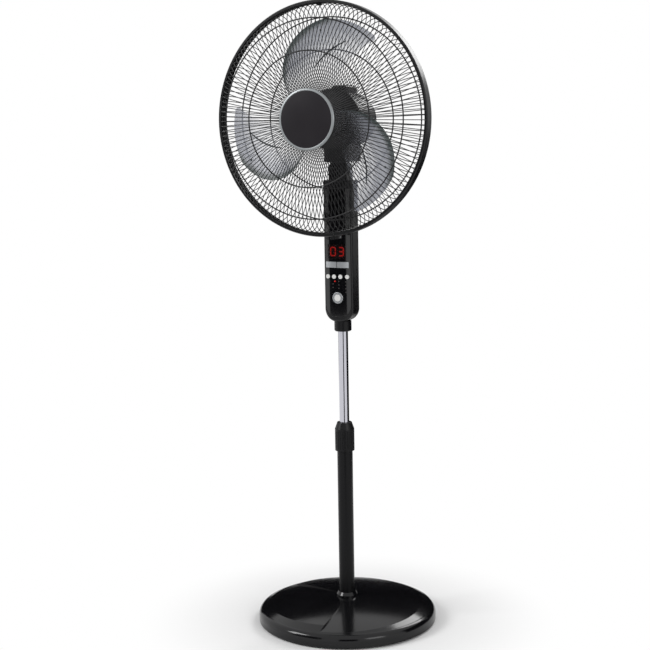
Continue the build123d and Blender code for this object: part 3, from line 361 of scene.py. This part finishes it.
class FAN_OT_blades(bpy.types.Operator):
    """Finishes the impeller and adds the ribs and mould marks on its blades"""
    bl_idname = "fan.blades"
    bl_label = "Blades"

    blades = 3
    # Places on the first blade, as radius and angle in degrees
    rib_from = (98 * MM, 93.0)
    rib_to = (159 * MM, 68.0)
    pip_at = (170 * MM, 87.0)
    rib_steps = 12
    rib_sides = 8
    rib_sink = 0.1 * MM
    pip_flatness = 0.35

    def blade_front(self, tree, radius, angle):
        """The point on the blade's front, found by looking back along the motor's axis."""
        x = radius * math.cos(math.radians(angle))
        z = AXIS_Z + radius * math.sin(math.radians(angle))
        hit = tree.ray_cast(Vector((x, HUB_FACE, z)), Vector((0, 1, 0)))
        if hit[0] is None:
            raise RuntimeError(f"no blade at {radius:.3f} m, {angle:.0f} degrees")
        return hit[0]

    def execute(self, context):
        finish, detail = context.scene.fan_finish, context.scene.fan_detail
        # The blades' edge colour is painted shade along the trailing edge
        smoke = smoke_blade("Smoke SAN", finish.smoke, finish.trailing_edge_shade)
        dress(smoke, "impeller")
        thick = moulded("Smoke SAN, rib", finish.rib, 0.25, 6.0, 0.01)
        tree = BVHTree.FromObject(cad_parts["impeller"], context.evaluated_depsgraph_get())
        for number in range(self.blades):
            turn = 360 / self.blades * number
            line = []
            for step in range(self.rib_steps + 1):
                share = step / self.rib_steps
                radius = self.rib_from[0] + (self.rib_to[0] - self.rib_from[0]) * share
                angle = self.rib_from[1] + (self.rib_to[1] - self.rib_from[1]) * share
                line.append(self.blade_front(tree, radius, angle + turn))
            rib = self.rib(f"blade_rib_{number + 1}", line, detail.rib_width, detail.rib_height)
            spot = self.blade_front(tree, self.pip_at[0], self.pip_at[1] + turn)
            pip = self.pip(f"blade_pip_{number + 1}", spot, detail.pip_radius)
            for piece in (rib, pip):
                piece.data.materials.append(thick)
                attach(piece, "rotor")
        return {"FINISHED"}

    def rib(self, name, line, width, height):
        """A rounded bead that tapers at both ends and stands on the blade."""
        shape = bmesh.new()
        sides = self.rib_sides
        out = Vector((0, -1, 0))
        rows = []
        for n, point in enumerate(line):
            ahead = (line[min(n + 1, len(line) - 1)] - line[max(n - 1, 0)]).normalized()
            side = ahead.cross(out).normalized()
            fade = math.sin(math.pi * (0.08 + 0.84 * n / (len(line) - 1))) ** 0.5
            row = []
            for k in range(sides + 1):
                angle = math.pi * k / sides
                across = math.cos(angle) * width / 2 * fade
                lift = math.sin(angle) * height * fade - self.rib_sink
                row.append(shape.verts.new(point + side * across + out * lift))
            rows.append(row)
        for first, second in zip(rows, rows[1:]):
            for k in range(sides):
                shape.faces.new((first[k], first[k + 1], second[k + 1], second[k]))
            shape.faces.new((first[0], second[0], second[-1], first[-1]))
        shape.faces.new(rows[0])
        shape.faces.new(list(reversed(rows[-1])))
        bmesh.ops.recalc_face_normals(shape, faces=shape.faces)
        for face in shape.faces:
            face.smooth = len(face.verts) == 4
        return piece_of(shape, name)

    def pip(self, name, spot, radius):
        """A shallow round mould mark."""
        shape = bmesh.new()
        bmesh.ops.create_uvsphere(shape, u_segments=20, v_segments=10, radius=radius)
        bmesh.ops.scale(shape, vec=(1.0, self.pip_flatness, 1.0), verts=shape.verts)
        bmesh.ops.translate(shape, vec=spot, verts=shape.verts)
        for face in shape.faces:
            face.smooth = True
        return piece_of(shape, name)


class FAN_OT_stage(bpy.types.Operator):
    """Sets up the floor, the lamps, the world and the camera"""
    bl_idname = "fan.stage"
    bl_label = "Stage"

    # The floor's shadow is kept to the first radius and is gone at the second
    shadow_r = 0.19
    white_r = 0.45
    floor_half = 6.0
    floor_drop = 0.2 * MM
    sensor_mm = 36.0
    card_colour = "#0c0c0e"
    # Name, place, aim, size and power of each lamp
    lamps = (
        ("key", (-2.4, -2.2, 2.4), (0, 0, 0.7), 1.4, 70),
        ("fill", (2.6, -1.4, 1.4), (0, 0, 0.7), 1.2, 14),
        ("back", (0.6, 2.4, 2.4), (0, 0, 0.9), 1.2, 30),
    )
    # Name, azimuth from the front, distance, width, foot and head of each dark card
    cards = (
        ("card_back", 200, 2.6, 4.6, 0.0, 1.9),
        ("card_left", -26, 2.5, 1.7, 0.3, 1.8),
        ("card_lens", 27, 1.3, 0.5, 0.0, 0.62),
        ("card_right", 125, 1.3, 1.2, 0.0, 0.9),
        ("card_far", 175, 1.3, 1.2, 0.0, 0.6),
    )

    def lamp(self, name, place, aim, size, power):
        data = bpy.data.lights.new(name, "AREA")
        data.size = size
        data.energy = power
        lamp = bpy.data.objects.new(name, data)
        lamp.location = place
        lamp.rotation_euler = (Vector(aim) - Vector(place)).to_track_quat("-Z", "Y").to_euler()
        bpy.context.collection.objects.link(lamp)

    def seen(self, tree):
        """One where the camera, a reflection or clear plastic looks, and nought for the light itself."""
        path = add(tree, "ShaderNodeLightPath")
        eye = add(tree, "ShaderNodeMath", {0: path.outputs["Is Camera Ray"],
                                           1: path.outputs["Is Glossy Ray"]}, operation="MAXIMUM")
        return add(tree, "ShaderNodeMath", {0: eye.outputs[0], 1: path.outputs["Is Transmission Ray"]},
                   operation="MAXIMUM")

    def white_where_seen(self, tree, lit):
        """Lit as usual, but plain white to the camera, to reflections and through clear plastic."""
        white = add(tree, "ShaderNodeBackground", {"Color": (1, 1, 1, 1), "Strength": 1.0})
        return add(tree, "ShaderNodeMixShader", {0: self.seen(tree).outputs[0], 1: lit.outputs[0],
                                                 2: white.outputs[0]})

    def pale_floor(self):
        """A pale floor that keeps the fan's shadow and turns plain white further out."""
        material, tree = blank("Pale studio floor")
        place = add(tree, "ShaderNodeTexCoord")
        mottle = add(tree, "ShaderNodeTexNoise", {"Vector": place.outputs["Object"], "Scale": 4.0})
        tint = add(tree, "ShaderNodeMix", {"Factor": mottle.outputs["Fac"], "A": (0.92, 0.92, 0.92, 1),
                                           "B": (0.96, 0.96, 0.96, 1)}, data_type="RGBA")
        lit = add(tree, "ShaderNodeBsdfPrincipled", {"Base Color": tint.outputs["Result"], "Roughness": 0.7})
        white = add(tree, "ShaderNodeEmission", {"Color": (1, 1, 1, 1), "Strength": 1.0})
        away = add(tree, "ShaderNodeVectorMath", {0: place.outputs["Object"]}, operation="LENGTH")
        fade = add(tree, "ShaderNodeMapRange", {"Value": away.outputs["Value"], "From Min": self.shadow_r,
                                                "From Max": self.white_r}, interpolation_type="SMOOTHSTEP")
        seen = add(tree, "ShaderNodeMath", {0: self.seen(tree).outputs[0], 1: fade.outputs["Result"]},
                   operation="MULTIPLY")
        close(tree, add(tree, "ShaderNodeMixShader", {0: seen.outputs[0], 1: lit.outputs[0],
                                                      2: white.outputs[0]}))
        return material

    def plate(self, name, half):
        """A flat square."""
        shape = bmesh.new()
        bmesh.ops.create_grid(shape, x_segments=1, y_segments=1, size=half)
        return piece_of(shape, name)

    def card(self, name, azimuth, away, width, low, high):
        """A flat dark card that is only seen in reflections."""
        angle = math.radians(azimuth)
        card = self.plate(name, 0.5)
        card.location = (away * math.sin(angle), -away * math.cos(angle), (low + high) / 2)
        aim = Vector((0, 0, card.location.z)) - card.location
        card.rotation_euler = aim.to_track_quat("Z", "Y").to_euler()
        card.scale = (width, high - low, 1.0)
        card.visible_camera = False
        card.visible_shadow = False
        card.visible_diffuse = False
        card.visible_transmission = False
        material, tree = blank("Dark studio card")
        close(tree, add(tree, "ShaderNodeEmission", {"Color": linear(self.card_colour), "Strength": 1.0}))
        card.data.materials.append(material)

    def execute(self, context):
        stage = context.scene.fan_stage
        scene = context.scene
        scene.view_settings.view_transform = "Standard"
        world = bpy.data.worlds.new("Studio")
        world.use_nodes = True
        world.node_tree.nodes.clear()
        room = add(world.node_tree, "ShaderNodeBackground", {"Color": (1, 1, 1, 1),
                                                             "Strength": stage.ambient})
        mixed = self.white_where_seen(world.node_tree, room)
        add(world.node_tree, "ShaderNodeOutputWorld", {"Surface": mixed.outputs[0]})
        scene.world = world

        floor = self.plate("floor", self.floor_half)
        floor.location.z = -self.floor_drop
        floor.data.materials.append(self.pale_floor())
        for settings in self.lamps:
            self.lamp(*settings)
        for settings in self.cards:
            self.card(*settings)

        data = bpy.data.cameras.new("camera")
        data.lens = stage.lens
        data.sensor_width = self.sensor_mm
        data.sensor_fit = "HORIZONTAL"
        camera = bpy.data.objects.new("camera", data)
        turn = Matrix.Rotation(stage.heading, 4, "Z") @ Matrix.Rotation(math.pi / 2 - stage.pitch, 4, "X")
        turn = turn @ Matrix.Rotation(stage.roll, 4, "Z")
        camera.matrix_world = Matrix.Translation(stage.camera_place) @ turn
        context.collection.objects.link(camera)
        scene.camera = camera
        return {"FINISHED"}


class FAN_PT_panel(bpy.types.Panel):
    """Lists the fan's operators and settings"""
    bl_idname = "FAN_PT_panel"
    bl_label = "Pedestal fan"
    bl_space_type = "VIEW_3D"
    bl_region_type = "UI"
    bl_category = "Fan"

    def draw(self, context):
        for step in STEPS:
            self.layout.operator(step.bl_idname)
        for group in (context.scene.fan_finish, context.scene.fan_detail, context.scene.fan_stage):
            box = self.layout.box()
            for key in group.__annotations__:
                box.prop(group, key)


GROUPS = (FanFinish, FanDetail, FanStage)
STEPS = (FAN_OT_base, FAN_OT_control, FAN_OT_head, FAN_OT_guard, FAN_OT_blades, FAN_OT_stage)


def register():
    for kind in GROUPS + STEPS + (FAN_PT_panel,):
        bpy.utils.register_class(kind)
    bpy.types.Scene.fan_finish = PointerProperty(type=FanFinish)
    bpy.types.Scene.fan_detail = PointerProperty(type=FanDetail)
    bpy.types.Scene.fan_stage = PointerProperty(type=FanStage)


def unregister():
    for name in ("fan_finish", "fan_detail", "fan_stage"):
        delattr(bpy.types.Scene, name)
    for kind in reversed(GROUPS + STEPS + (FAN_PT_panel,)):
        bpy.utils.unregister_class(kind)


def main():
    register()
    bpy.ops.fan.base()
    bpy.ops.fan.control()
    bpy.ops.fan.head()
    bpy.ops.fan.guard()
    bpy.ops.fan.blades()
    bpy.ops.fan.stage()


if __name__ == "__main__":
    main()
